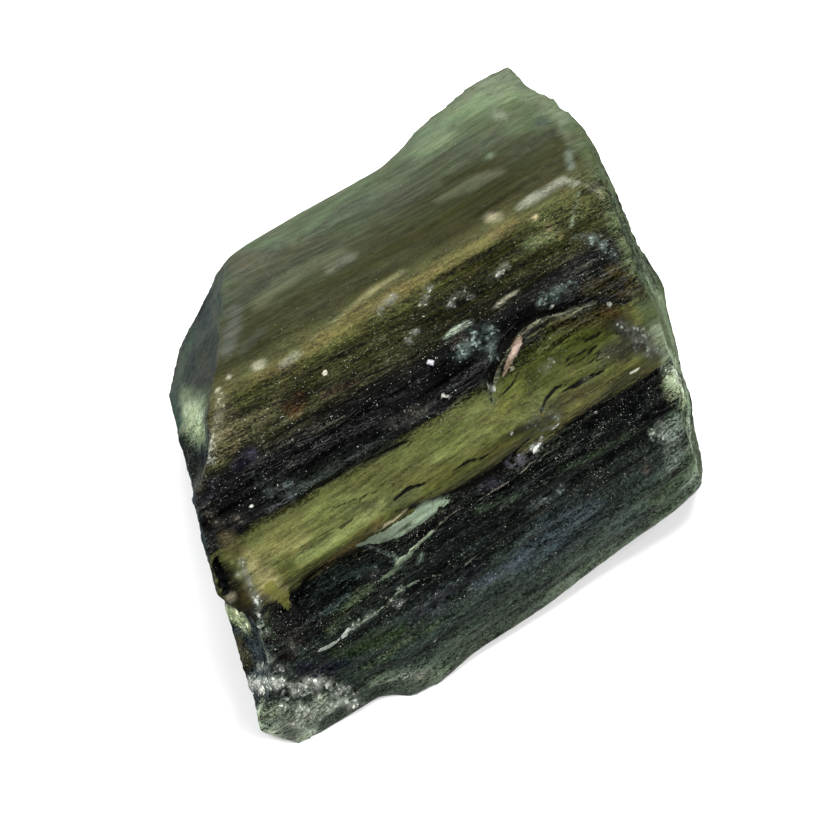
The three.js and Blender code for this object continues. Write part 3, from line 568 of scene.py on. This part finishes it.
    ("end hole", "#020303", -0.2, [(-8, -0.65, 0.09), (-8.1, -1.1, 0.22), (-8.2, -1.65, 0.12)]),
    ("rim b light", "#d4d9d0", 0.04, [(-7.6, -2.3, 0.05), (-7.75, -2.7, 0.06), (-7.95, -3.1, 0.05)]),
]

# Crushed places, full of fine pale crumbs of glass.
CRUSHES = [
    # thin edges and far faces
    ("edge gleam", "#afb7a5", 0, [(-6.3, 2.6, 0.15), (-6.4, 2.45, 0.12)]),
    ("grey patch", "#7c857a", 0.03, [(5.7, -4.3, 0.15), (6.05, -4.25, 0.22), (5.95, -4.65, 0.15)]),
    # the brown slope
    ("slope left crumbs", "#7e7c67", 0.01, [(-6.45, 2.3, 0.12), (-5.95, 2.9, 0.15), (-5.35, 3.6, 0.15)]),
    ("slope crumbs", "#7f8276", 0.01, [(1.6, 2.9, 0.12), (2, 3.25, 0.09)]),
    ("slope crumbs b", "#767970", 0.01, [(2.35, 2.45, 0.15), (2.85, 2.65, 0.09), (3, 2.3, 0.09)]),
    ("slope crumbs c", "#7d8075", 0.01, [(0.25, 3.4, 0.09), (0.65, 3.55, 0.12), (0.95, 3.55, 0.09)]),
    ("slope crumbs d", "#808278", 0.01, [(0.6, 2.15, 0.12), (0.95, 2.3, 0.12)]),
    ("slope crumbs e", "#7f8177", 0.01, [(3.95, 2.5, 0.12), (4.35, 2.55, 0.15)]),
    # the black ridge
    ("purple specks", "#2c2a35", 0, [(-5.95, 1.6, 0.19), (-5.45, 1.6, 0.22)]),
    ("purple specks b", "#29272f", 0, [(-7.35, 1.15, 0.12), (-6.8, 1.45, 0.12)]),
    ("ridge dust", "#33322d", 0, [(-1.35, 0.15, 0.15), (-0.55, 0.15, 0.22), (0.1, 0.15, 0.15)]),
    ("pit rim", "#576061", 0.02, [(-5.55, 1, 0.09), (-5.55, 0.55, 0.12), (-5.5, 0.2, 0.09)]),
    ("pit rim b", "#505959", 0.02, [(-4.9, 0.5, 0.09), (-4.95, 0.05, 0.12), (-5.05, -0.3, 0.09)]),
    ("nose crumbs", "#3f3b34", 0.01, [(-7.5, 0.65, 0.15), (-7.25, 0.25, 0.19), (-6.7, 0.05, 0.15)]),
    ("right tip crumbs", "#5f6a64", 0.02, [
        (6.75, 2.25, 0.09), (7.15, 2, 0.15), (7.4, 1.6, 0.19), (7.45, 1.15, 0.15)
    ]),
    # Painted glints: pale specks, drawn as crumbs, where the dark glossy patch catches the light.
    ("painted glint specks", "#4c5852", 0.02, [(4.7, 1.05, 0.12), (5.35, 1, 0.19), (5.9, 1, 0.09)]),
    ("crushed specks", "#65736d", 0.03, [
        (1.75, 1, 0.19), (2.3, 1.05, 0.25), (2.8, 1.05, 0.22), (2.6, 0.45, 0.15)
    ]),
    # the shell-shaped chip
    ("chip rubble", "#5f6354", 0, [(3.7, -0.85, 0.15), (4, -0.75, 0.12)]),
    ("chip grit", "#414437", 0.01, [(4.65, -1.8, 0.12), (5.05, -1.7, 0.15), (5.65, -1.65, 0.12)]),
    ("gritty end", "#636860", 0.03, [(6.6, -0.85, 0.15), (6.75, -1.4, 0.28), (7, -2.05, 0.25)]),
    # the right end
    ("right knob crumbs", "#b5c0a8", 0.03, [(7.1, -2.75, 0.15), (7.2, -3.1, 0.25), (7.25, -3.65, 0.25)]),
    # the white chips
    ("chip white crumbs", "#c9cec6", 0.03, [(2.55, -2.65, 0.06), (2.25, -2.8, 0.11), (2, -2.95, 0.06)]),
    ("chip white crumbs b", "#a9aea6", 0.02, [(3.35, -2.4, 0.06), (3.05, -2.55, 0.09)]),
    ("foot veil", "#474d45", 0.02, [(2.5, -2.05, 0.12), (3, -1.95, 0.15), (3.3, -2.05, 0.12)]),
    ("foot veil b", "#474d45", 0.02, [(2.6, -2.4, 0.15), (3.35, -2.4, 0.12)]),
    # the lower slope
    ("lower slope crumbs", "#64626c", 0.01, [(1.35, -2.8, 0.12), (1.65, -2.9, 0.15), (2, -2.9, 0.12)]),
    ("lower slope crumbs b", "#45424e", 0, [(0, -3, 0.12), (0.6, -3.05, 0.15), (1.1, -3.05, 0.12)]),
    ("lower slope crumbs c", "#4d565d", 0, [
        (-1.6, -5.6, 0.15), (-0.85, -5.6, 0.19), (-0.15, -5.7, 0.19), (0.4, -5.65, 0.15)
    ]),
    ("lower slope crumbs d", "#535b58", 0, [(1.05, -4.25, 0.12), (1.7, -4.35, 0.15), (2.3, -4.3, 0.12)]),
    ("pocket veil", "#46514e", 0, [(-4.5, -3.35, 0.15), (-4.1, -3.45, 0.15)]),
    ("slope crack crumbs", "#818a7d", 0.02, [
        (-3.6, -4.4, 0.09), (-4.05, -4.5, 0.09), (-4.4, -4.55, 0.06), (-5.2, -4.65, 0.09),
        (-5.65, -4.65, 0.12)
    ]),
    ("lower slope crumb", "#666c62", 0, [(-7.5, -4.05, 0.12), (-7.4, -4.35, 0.12)]),
    ("slope glints", "#383d41", 0, [(-3.8, -5.55, 0.25), (-3.2, -5.45, 0.31), (-2.4, -5.35, 0.25)]),
    # the left end below the band
    ("rim a", "#a3a698", 0.04, [
        (-7.35, -1, 0.05), (-7.4, -1.35, 0.05), (-7.5, -1.7, 0.05), (-7.55, -2.1, 0.09),
        (-7.6, -2.45, 0.06)
    ]),
    ("end knob light", "#cfd7b2", 0.04, [(-8.6, -2.3, 0.22), (-8.45, -2.55, 0.31), (-8.4, -2.9, 0.19)]),
    ("end crumbs", "#5c5948", 0, [(-8.95, -3.35, 0.19), (-8.9, -3.9, 0.22)]),
    ("crush light", "#dbdfd5", 0.05, [(-9.25, -4.6, 0.22), (-8.85, -4.85, 0.25), (-8.4, -4.9, 0.19)]),
    ("crush dots", "#959b92", 0.03, [(-8.75, -4.25, 0.12), (-8.3, -4.2, 0.12), (-8.05, -4.75, 0.15)]),
    ("crushed white", "#c3c9bc", 0.05, [(-8.45, -5.15, 0.15), (-8.6, -5.6, 0.19)]),
    ("crushed specks b", "#a3aa9d", 0.03, [(-8.75, -5.8, 0.34), (-8.2, -6.2, 0.43), (-7.45, -6.3, 0.34)]),
    ("crushed light b", "#8f968a", 0.05, [(-8.4, -5.9, 0.19), (-8.55, -6.5, 0.19)]),
    ("corner rim", "#c0c6ba", 0.05, [
        (-8.3, -5.3, 0.22), (-7.6, -5.5, 0.25), (-7.15, -5.9, 0.25), (-6.9, -6.35, 0.25),
        (-6.85, -6.85, 0.22)
    ]),
]

LAYERS = {"stain": STAINS, "flake": FLAKES, "crush": CRUSHES}


def smooth(low, high, value):
    """0 below low, 1 above high, and an even slope between them."""
    part = np.clip((value - low) / (high - low), 0, 1)
    return part * part * (3 - 2 * part)


def noise_at(places, name):
    """One of the skin's noises at each place, drawn out along the grain."""
    width, length, strength, shift = SKIN_NOISES[name]
    scaled = places / (length, width, width) + shift
    return strength * np.array([noise.noise(Vector(place)) for place in scaled])


def terraces(height):
    """Turns an even height into flat treads with steep risers between them."""
    level = height * TREADS
    tread = np.floor(level)
    return (tread + smooth(0.5 - RISER, 0.5 + RISER, level - tread)) / TREADS


def relief(places, normals, zone, broken):
    """How far ledges, lines, grit and rings stand proud at each vertex, in mm."""
    ledges = noise_at(places, "ledges") + noise_at(places, "small ledges")
    crests = 1 - np.abs(noise_at(places, "crests"))
    proud = zone["terrace"] * (STEPPED * terraces(ledges) + SLOPING * ledges)
    proud += zone["line"] * (crests + noise_at(places, "fine lines"))
    proud += (zone["grit"] + BREAK_GRIT * broken) * noise_at(places, "grains")
    from_chip = np.hypot(places[:, 0] - CHIP_CENTRE[0], places[:, 1] - CHIP_CENTRE[1])
    rings = np.sin(2 * math.pi * from_chip / RING_PITCH)
    rings *= 1 - smooth(RING_FADE, 1, from_chip / CHIP_REACH)
    return proud + RING_HEIGHT * rings * smooth(0, LOOKS_UP, normals[:, 2])


def on_skin(skin, x, y, half_width):
    """A mark's point set on the stone's skin, in the grain frame."""
    hit = skin.ray_cast(Vector((x, y, DROP_HEIGHT)), Vector((0, 0, -1)))[0]
    if hit is None:
        hit = skin.find_nearest(Vector((x, y, EDGE_DEPTH)))[0]
    return (*hit, half_width)


def beyond(path, places):
    """How far each place lies outside a path's half-width, in mm. It is negative inside."""
    outside = np.full(len(places), np.inf)
    path = np.array(path)
    if len(path) == 1:
        path = np.vstack((path, path + (SPOT, 0, 0, 0)))
    for start, end in zip(path[:-1], path[1:]):
        run = (end - start)[:3]
        share = np.clip((places - start[:3]) @ run / (run @ run), 0, 1)
        gap = np.linalg.norm(places - start[:3] - share[:, None] * run, axis=1)
        outside = np.minimum(outside, gap - start[3] - share * (end - start)[3])
    return outside


def cover_of(path, crisp, places, wobble):
    """How much of a mark lies on each vertex, from 0 to 1."""
    widest = max(point[3] for point in path)
    if crisp:
        edge = FLAKE_EDGE
        wander = min(MOST_FLAKE_WANDER, WANDER * widest)
    else:
        edge = LEAST_STAIN_EDGE + STAIN_EDGE * widest
        wander = WANDER * edge
    return 1 - smooth(-edge, edge, beyond(path, places) + wander * wobble)


def lay_over(paint, colour, cover):
    """Lays a colour over what a layer of paint already has, as thick as its cover."""
    paint[:, 3] = paint[:, 3] * (1 - cover) + cover
    share = cover / np.maximum(paint[:, 3], LEAST_COVER)
    paint[:, :3] += (np.array(linear(colour))[:3] - paint[:, :3]) * share[:, None]


def surface_of(blank):
    """What the skin is like at each vertex: how far it stands proud in mm, and its colours and finish."""
    places = np.array([vert.co for vert in blank.verts])
    normals = np.array([vert.normal for vert in blank.verts])
    zone = {key: np.interp(places[:, 1], ZONE_PLACES, values) for key, values in ZONES.items()}
    broken = smooth(BREAK_FROM, BREAK_TO, np.abs(normals[:, 0]))
    proud = relief(places, normals, zone, broken)

    skin = BVHTree.FromBMesh(blank)
    wobble = noise_at(places, "wobble") + noise_at(places, "small wobble")
    looks = {layer: np.zeros((len(places), 4)) for layer in LAYERS}
    right = normals[:, :1] > 0
    left_colour, right_colour = linear(LEFT_BREAK_COLOUR)[:3], linear(RIGHT_BREAK_COLOUR)[:3]
    looks["stain"][:, :3] = np.where(right, right_colour, left_colour)
    looks["stain"][:, 3] = BREAK_COVER * broken
    for layer, marks in LAYERS.items():
        for _, colour, lift, path in marks:
            path = [on_skin(skin, *point) for point in path]
            cover = cover_of(path, layer == "flake", places, wobble)
            lay_over(looks[layer], colour, cover)
            proud += lift * cover

    zone["clear"] *= 1 - broken
    zone["rough"] += (BREAK_ROUGHNESS - zone["rough"]) * broken
    looks["finish"] = np.stack([zone[key] for key in ("clear", "rough", "lined", "gritty")], axis=1)
    return proud, looks


def read(items, name, width, kind=float):
    """What each of a mesh's vertices or edges says under a name, as an array with a row for each."""
    values = np.empty(len(items) * width, kind)
    items.foreach_get(name, values)
    return values.reshape(-1, width)


def bend_of(mesh):
    """How sharply the skin bends at each vertex: positive on an edge and negative in a groove."""
    places = read(mesh.vertices, "co", 3)
    normals = read(mesh.vertices, "normal", 3)
    ends = read(mesh.edges, "vertices", 2, int)
    bend = np.zeros(len(places))
    valence = np.zeros(len(places))
    for here, there in (ends.T, ends[:, ::-1].T):
        step = places[there] - places[here]
        fall = -np.sum(step * normals[here], axis=1) / np.linalg.norm(step, axis=1)
        np.add.at(bend, here, fall)
        np.add.at(valence, here, 1)
    return bend / valence


def stone_blank():
    """The solid's shape as an even mesh of small faces, in the grain frame, in mm."""
    shape = bmesh.new()
    shape.from_mesh(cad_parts["moldavite"].data)
    bmesh.ops.remove_doubles(shape, verts=shape.verts, dist=WELD * MM)
    shape.transform(SQUEEZE @ SETTLE.inverted())
    mesh = bpy.data.meshes.new("blank")
    shape.to_mesh(mesh)
    shape.free()
    holder = bpy.data.objects.new("blank", mesh)
    bpy.context.scene.collection.objects.link(holder)
    cells = holder.modifiers.new("cells", "REMESH")
    cells.mode = "VOXEL"
    cells.voxel_size = CELL
    blank = bmesh.new()
    blank.from_object(holder, bpy.context.evaluated_depsgraph_get())
    bpy.data.objects.remove(holder)
    blank.transform(SQUEEZE.inverted())
    blank.normal_update()
    return blank


def shape_stone(bm, proud):
    """Raises the blank's relief and stands it on its resting break, inside the solid's box."""
    places = np.array([vert.co for vert in bm.verts])
    above = places @ np.array(SETTLE.to_3x3())[2] + SETTLE.translation.z
    proud *= smooth(REST_LEVEL * MM, FULL_RELIEF * REST_LEVEL * MM, above)
    for vert, height in zip(bm.verts, proud):
        vert.co += vert.normal * height
    bm.transform(SETTLE)
    low, high = CAD_BOX
    for vert in bm.verts:
        for axis in range(3):
            vert.co[axis] = min(high[axis], max(low[axis], vert.co[axis]))
        if vert.co.z < REST_LEVEL * MM:
            vert.co.z = low.z
    for face in bm.faces:
        face.smooth = True


def moldavite():
    """The stone, with its colours and finish kept at its vertices for the glass to read."""
    bm = stone_blank()
    proud, looks = surface_of(bm)
    shape_stone(bm, proud)
    mesh = bpy.data.meshes.new("moldavite_glass")
    bm.to_mesh(mesh)
    bm.free()
    looks["bend"] = bend_of(mesh)
    for name, values in looks.items():
        plain = values.ndim == 1
        kept = mesh.attributes.new(name, "FLOAT" if plain else "FLOAT_COLOR", "POINT")
        kept.data.foreach_set("value" if plain else "color", values.astype(np.float32).ravel())

    # The resting break becomes one flat face.
    bm = bmesh.new()
    bm.from_mesh(mesh)
    floor = CAD_BOX[0].z
    resting = [face for face in bm.faces if all(vert.co.z == floor for vert in face.verts)]
    bmesh.ops.dissolve_faces(bm, faces=resting, use_verts=True)
    bm.to_mesh(mesh)
    bm.free()
    stone = bpy.data.objects.new("moldavite_glass", mesh)
    bpy.context.scene.collection.objects.link(stone)
    return stone


# ---------------------------------------------------------------- the glass

# The glass's colour zones, by their place across the grain in mm, and the colour of its brighter lines.
BAND_START, BAND_END = -9.0, 9.0
BANDS = [
    (-7.6, "#3f483c"),
    (-6.0, "#1f2822"),
    (-4.0, "#060908"),
    (-2.68, "#070908"),
    (-2.58, "#33321a"),
    (-2.1, "#484a25"),
    (-1.4, "#51552f"),
    (-0.7, "#50532e"),
    (-0.36, "#3a3c20"),
    (-0.28, "#050606"),
    (1.0, "#050605"),
    (1.5, "#0c0b05"),
    (2.2, "#1b1c0a"),
    (3.0, "#20210c"),
    (3.3, "#343518"),
    (3.6, "#434225"),
    (3.95, "#404227"),
    (4.3, "#2b2b15"),
    (5.0, "#2c2d18"),
    (5.6, "#2f3220"),
    (6.4, "#3d4333"),
    (7.2, "#48503f"),
    (8.2, "#5b6550"),
]
GLINTS = [
    (-7.0, "#6d7a72"),
    (-3.0, "#525b52"),
    (-2.2, "#90905e"),
    (-0.6, "#909365"),
    (-0.1, "#5c5e60"),
    (1.2, "#5f5e57"),
    (2.4, "#7a7657"),
    (3.6, "#867f59"),
    (5.0, "#767860"),
]

# Moldavite's index is 1.48 to 1.51. A raw, lined skin hardly mirrors, and 2 mm of the glass is dark.
GLASS_IOR = 1.49
SPECULAR_LEVEL = 0.02
THIN_GLASS = "#8fa070"
ABSORPTION = 500.0  # to the metre
CRACK_COLOUR = "#040504"
DUST_COLOUR = "#a2a699"
BUMP_DEPTH = 0.02  # mm

# The patterns in the glass, as noises: each one's squeeze along the grain, where 0.1 makes it ten times as
# long as wide, how many of it there are to a mm, its detail and its roughness. What is under 0.04 mm is
# too fine to show, so the lines, grit and dust, which are really 0.01 to 0.03 mm, are drawn coarser.
PATTERNS = {
    "tints": (0.5, 1.5, 4.0, 0.7),  # 0.7 mm across
    "clouds": (0.1, 0.9, 2.0, 0.6),  # 1.1 mm: where the glass is cracked
    "streaks": (0.1, 2.0, 5.0, 0.6),  # 0.5 mm
    "hair cracks": (0.045, 4.5, 4.0, 0.6),  # 0.2 mm apart
    "fine lines": (0.045, 7.0, 4.0, 0.75),  # 0.14 mm and 3 mm long, drawn coarser
    "grit": (0.5, 17.0, 3.0, 0.85),  # 0.06 mm, drawn coarser
    "clumps": (1.0, 3.2, 4.0, 0.65),  # 0.3 mm, of crumbs
    "drifts": (1.0, 1.6, 3.0, 0.6),  # 0.6 mm, of dust
    "fine dust": (1.0, 26.0, 1.0, 0.5),  # 0.04 mm, drawn coarser
    "coarse dust": (1.0, 13.0, 1.0, 0.5),  # 0.08 mm, drawn coarser
}
CRUMBS = 13.0  # to a mm, so 0.08 mm each, as the largest real ones are

# How far streaks and fine lines push a zone's colour across the grain, in mm.
STREAK_WANDER, LINE_WANDER = 0.9, 0.5
TINT_SHARE = 0.2
TINT_LIFT = (2.0, 2.0, 2.0)  # brings the mean tint to white

# A colour mix's inputs, and the settings of one that lays a colour over another and one that multiplies.
FACTOR, FIRST, SECOND = 0, 6, 7
OVER = {"data_type": "RGBA"}
TIMES = {"data_type": "RGBA", "blend_type": "MULTIPLY"}

# In the functions below, a MapRange's value is followed by the range it comes from and the range it goes
# to. A noise lies between about 0.3 and 0.7.


def zones_and_tints(add, grain, noises, skin):
    """The glass's colour, by zones that wander a little, and the colour of its brighter lines."""
    across = add("SeparateXYZ", [grain]).node.outputs["Y"]
    place = add("Math", [noises["streaks"], STREAK_WANDER, across], operation="MULTIPLY_ADD")
    place = add("Math", [noises["fine lines"], LINE_WANDER, place], operation="MULTIPLY_ADD")
    middle = (STREAK_WANDER + LINE_WANDER) / 2
    share = add("MapRange", [place, BAND_START + middle, BAND_END + middle])
    span = BAND_END - BAND_START
    colour, glint = [
        add("ValToRGB", [share], [((y - BAND_START) / span, linear(shade)) for y, shade in ramp])
        for ramp in (BANDS, GLINTS)
    ]
    colour = add("Mix", {FACTOR: skin["stain cover"], FIRST: colour, SECOND: skin["stain"]}, **OVER)
    tints = noises["tints"].node.outputs["Color"]
    tints = add("VectorMath", [tints, TINT_LIFT], operation="MULTIPLY")
    colour = add("Mix", {FACTOR: TINT_SHARE, FIRST: colour, SECOND: tints}, **TIMES)
    return colour, glint


def lines_and_grit(add, noises, skin, colour, glint):
    """Lines along the grain, with grit between them: the dark ones nearly black, and a few that glint."""
    lines = add("MapRange", [noises["fine lines"], 0.3, 0.7, -1.0, 1.0], clamp=False)
    lines = add("Math", [lines, skin["lined"]], operation="MULTIPLY")
    grit = add("MapRange", [noises["grit"], 0.32, 0.68, -1.6, 1.2], clamp=False)
    streaks = add("MapRange", [noises["streaks"], 0.3, 0.7, -1.0, 1.0], clamp=False)
    grit = add("Math", [grit, streaks], operation="ADD")
    contrast = add("Math", [grit, skin["gritty"], lines], operation="MULTIPLY_ADD")
    shade = add("MapRange", [contrast, -1.2, 0.5, 0.0, 1.5])
    shade = add("Math", [shade, 1.5], operation="POWER")
    shade = add("Math", [shade, 0.03], operation="MAXIMUM")
    colour = add("Mix", {FACTOR: 1.0, FIRST: colour, SECOND: shade}, **TIMES)
    gleam = add("MapRange", [contrast, 0.3, 2.2])
    gleam = add("Math", [gleam, 2.0], operation="POWER")
    colour = add("Mix", {FACTOR: gleam, FIRST: colour, SECOND: glint}, **OVER)
    return colour, contrast


def hair_cracks(add, noises, skin, colour, glint):
    """Cracks where a noise crosses a level: faint ones that glint, and dark ones."""
    cracked = add("MapRange", [noises["clouds"], 0.4, 0.55])
    cracked = add("Math", [cracked, skin["lined"]], operation="MULTIPLY")
    for level, shade, strength in ((0.53, glint, 0.25), (0.5, linear(CRACK_COLOUR), 1.0)):
        crack = add("Math", [noises["hair cracks"], level], operation="SUBTRACT")
        crack = add("Math", [crack], operation="ABSOLUTE")
        crack = add("MapRange", [crack, 0.02, 0.006, 0.0, strength])
        crack = add("Math", [crack, cracked], operation="MULTIPLY")
        colour = add("Mix", {FACTOR: crack, FIRST: colour, SECOND: shade}, **OVER)
    return colour


def chipped_glinting_edges_and_groove_shade(add, noises, skin, colour, glint):
    """Edges are painted pale, partly as chipped wear and partly as a painted highlight where they catch the
    light, and grooves are darkened with painted shade.
    """
    worn = add("MapRange", [skin["bend"], 0.25, 0.7, 0.0, 0.2])
    chips = add("MapRange", [noises["grit"], 0.4, 0.65])
    worn = add("Math", [worn, chips], operation="MULTIPLY")
    worn = add("Math", [worn, skin["lined"]], operation="MULTIPLY")
    colour = add("Mix", {FACTOR: worn, FIRST: colour, SECOND: glint}, **OVER)
    # Painted shade: the grooves are darkened as shade would darken them.
    groove = add("MapRange", [skin["bend"], -0.06, -0.25, 1.0, 0.3])
    return add("Mix", {FACTOR: 1.0, FIRST: colour, SECOND: groove}, **TIMES)


def flakes(add, noises, skin, colour, contrast):
    """Flakes and chips, with crisp edges that follow the grit and the lines, and a mottled face."""
    broken = add("Math", [noises["grit"], 0.7, skin["flake cover"]], operation="MULTIPLY_ADD")
    broken = add("Math", [noises["fine lines"], 0.7, broken], operation="MULTIPLY_ADD")
    broken = add("MapRange", [broken, 1.15, 1.3])
    mottle = add("MapRange", [contrast, -1.2, 1.0, 0.5, 1.3])
    face = add("Mix", {FACTOR: 1.0, FIRST: skin["flake"], SECOND: mottle}, **TIMES)
    return add("Mix", {FACTOR: broken, FIRST: colour, SECOND: face}, **OVER)


def crushed_glass(add, grain, noises, skin, colour, contrast):
    """A pale haze, and crumbs that lie thick in the middle of a crushed place and thin at its edge."""
    crumbs = add("TexVoronoi", {"Vector": grain, "Scale": CRUMBS}).node.outputs["Color"]
    loose, facing, _ = add("SeparateColor", [crumbs]).node.outputs
    clumps = add("MapRange", [noises["clumps"], 0.4, 0.62])
    clumps = add("Math", [clumps, skin["crush cover"]], operation="MULTIPLY")
    haze = add("MapRange", [contrast, -1.5, 1.5, 0.25, 0.8])
    haze = add("Math", [haze, clumps], operation="MULTIPLY")
    colour = add("Mix", {FACTOR: haze, FIRST: colour, SECOND: skin["crush"]}, **OVER)
    heaped = add("Math", [clumps, 0.45, loose], operation="MULTIPLY_ADD")
    heaped = add("MapRange", [heaped, 0.97, 1.1])
    facets = add("MapRange", [facing, 0.0, 1.0, 0.4, 1.6])
    crumb = add("Mix", {FACTOR: 1.0, FIRST: skin["crush"], SECOND: facets}, **TIMES)
    return add("Mix", {FACTOR: heaped, FIRST: colour, SECOND: crumb}, **OVER), heaped


def pale_dust(add, noises, skin, colour):
    """Dust in drifts: fine grains, and a few coarse ones."""
    drifts = add("MapRange", [noises["drifts"], 0.35, 0.65, 0.3, 1.0])
    drifts = add("Math", [drifts, skin["gritty"]], operation="MULTIPLY")
    for name, rarity in (("fine dust", 0.785), ("coarse dust", 0.8)):
        dust = add("Math", [drifts, 0.08, noises[name]], operation="MULTIPLY_ADD")
        dust = add("MapRange", [dust, rarity, rarity + 0.05])
        colour = add("Mix", {FACTOR: dust, FIRST: colour, SECOND: linear(DUST_COLOUR)}, **OVER)
    return colour


def natural_glass():
    """Moldavite: a dark olive-green silica glass, raw and naturally broken, and a little worn.

    Its long faces broke along the grain, which leaves fine lines and a satin skin that is nearly black
    where it is thick. The breaks across the grain are rough and dull, the flakes crisp, and the crushed
    edges white with crumbs. Only thin edges let light through, as grey-green.
    """
    glass = bpy.data.materials.new("olive_green_natural_glass")
    glass.use_nodes = True
    tree = glass.node_tree
    add = partial(node, tree)

    # Places in the grain frame in mm, and the patterns there.
    place = add("TexCoord").node.outputs["Object"]
    to_grain = SETTLE.inverted()
    grain = add("Mapping", [place, to_grain.translation, to_grain.to_euler("XYZ"), (1 / MM,) * 3])
    squeezed = {1.0: grain}
    noises = {}
    for name, (squeeze, count, detail, roughness) in PATTERNS.items():
        if squeeze not in squeezed:
            squeezed[squeeze] = add("Mapping", {"Vector": grain, "Scale": (squeeze, 1, 1)})
        pattern = {"Vector": squeezed[squeeze], "Scale": count, "Detail": detail, "Roughness": roughness}
        noises[name] = add("TexNoise", pattern)

    # The colours and finish that the mesh keeps. The bend comes last: ahead of the colours, and with
    # absorption in the glass, it is misread.
    skin = {}
    for layer in LAYERS:
        paint = add("Attribute", attribute_name=layer).node.outputs
        skin[layer] = paint["Color"]
        skin[layer + " cover"] = paint["Alpha"]
    finish = add("Attribute", attribute_name="finish").node.outputs
    skin["gritty"] = finish["Alpha"]
    skin["bend"] = add("Attribute", attribute_name="bend").node.outputs["Fac"]
    clear, rough, skin["lined"] = add("SeparateColor", [finish["Color"]]).node.outputs

    colour, glint = zones_and_tints(add, grain, noises, skin)
    colour, contrast = lines_and_grit(add, noises, skin, colour, glint)
    colour = hair_cracks(add, noises, skin, colour, glint)
    colour = chipped_glinting_edges_and_groove_shade(add, noises, skin, colour, glint)
    colour = flakes(add, noises, skin, colour, contrast)
    colour, heaped = crushed_glass(add, grain, noises, skin, colour, contrast)
    colour = pale_dust(add, noises, skin, colour)

    # The relief that is too fine for the mesh.
    height = add("Math", [noises["fine lines"], skin["lined"]], operation="MULTIPLY")
    height = add("Math", [noises["grit"], 0.7, height], operation="MULTIPLY_ADD")
    height = add("Math", [heaped, 0.5, height], operation="MULTIPLY_ADD")
    bump = add("Bump", {"Height": height, "Strength": 1.0, "Distance": BUMP_DEPTH * MM})

    surface = tree.nodes["Principled BSDF"].inputs
    tree.links.new(colour, surface["Base Color"])
    tree.links.new(rough, surface["Roughness"])
    tree.links.new(clear, surface["Transmission Weight"])
    tree.links.new(bump, surface["Normal"])
    surface["IOR"].default_value = GLASS_IOR
    surface["Specular IOR Level"].default_value = SPECULAR_LEVEL
    absorb = add("VolumeAbsorption", {"Color": linear(THIN_GLASS), "Density": ABSORPTION})
    tree.links.new(absorb, tree.nodes["Material Output"].inputs["Volume"])
    return glass


set_camera()
set_lights()
set_floor()

stone = moldavite()
stone.data.materials.append(natural_glass())
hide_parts("moldavite")
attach(stone, "root")
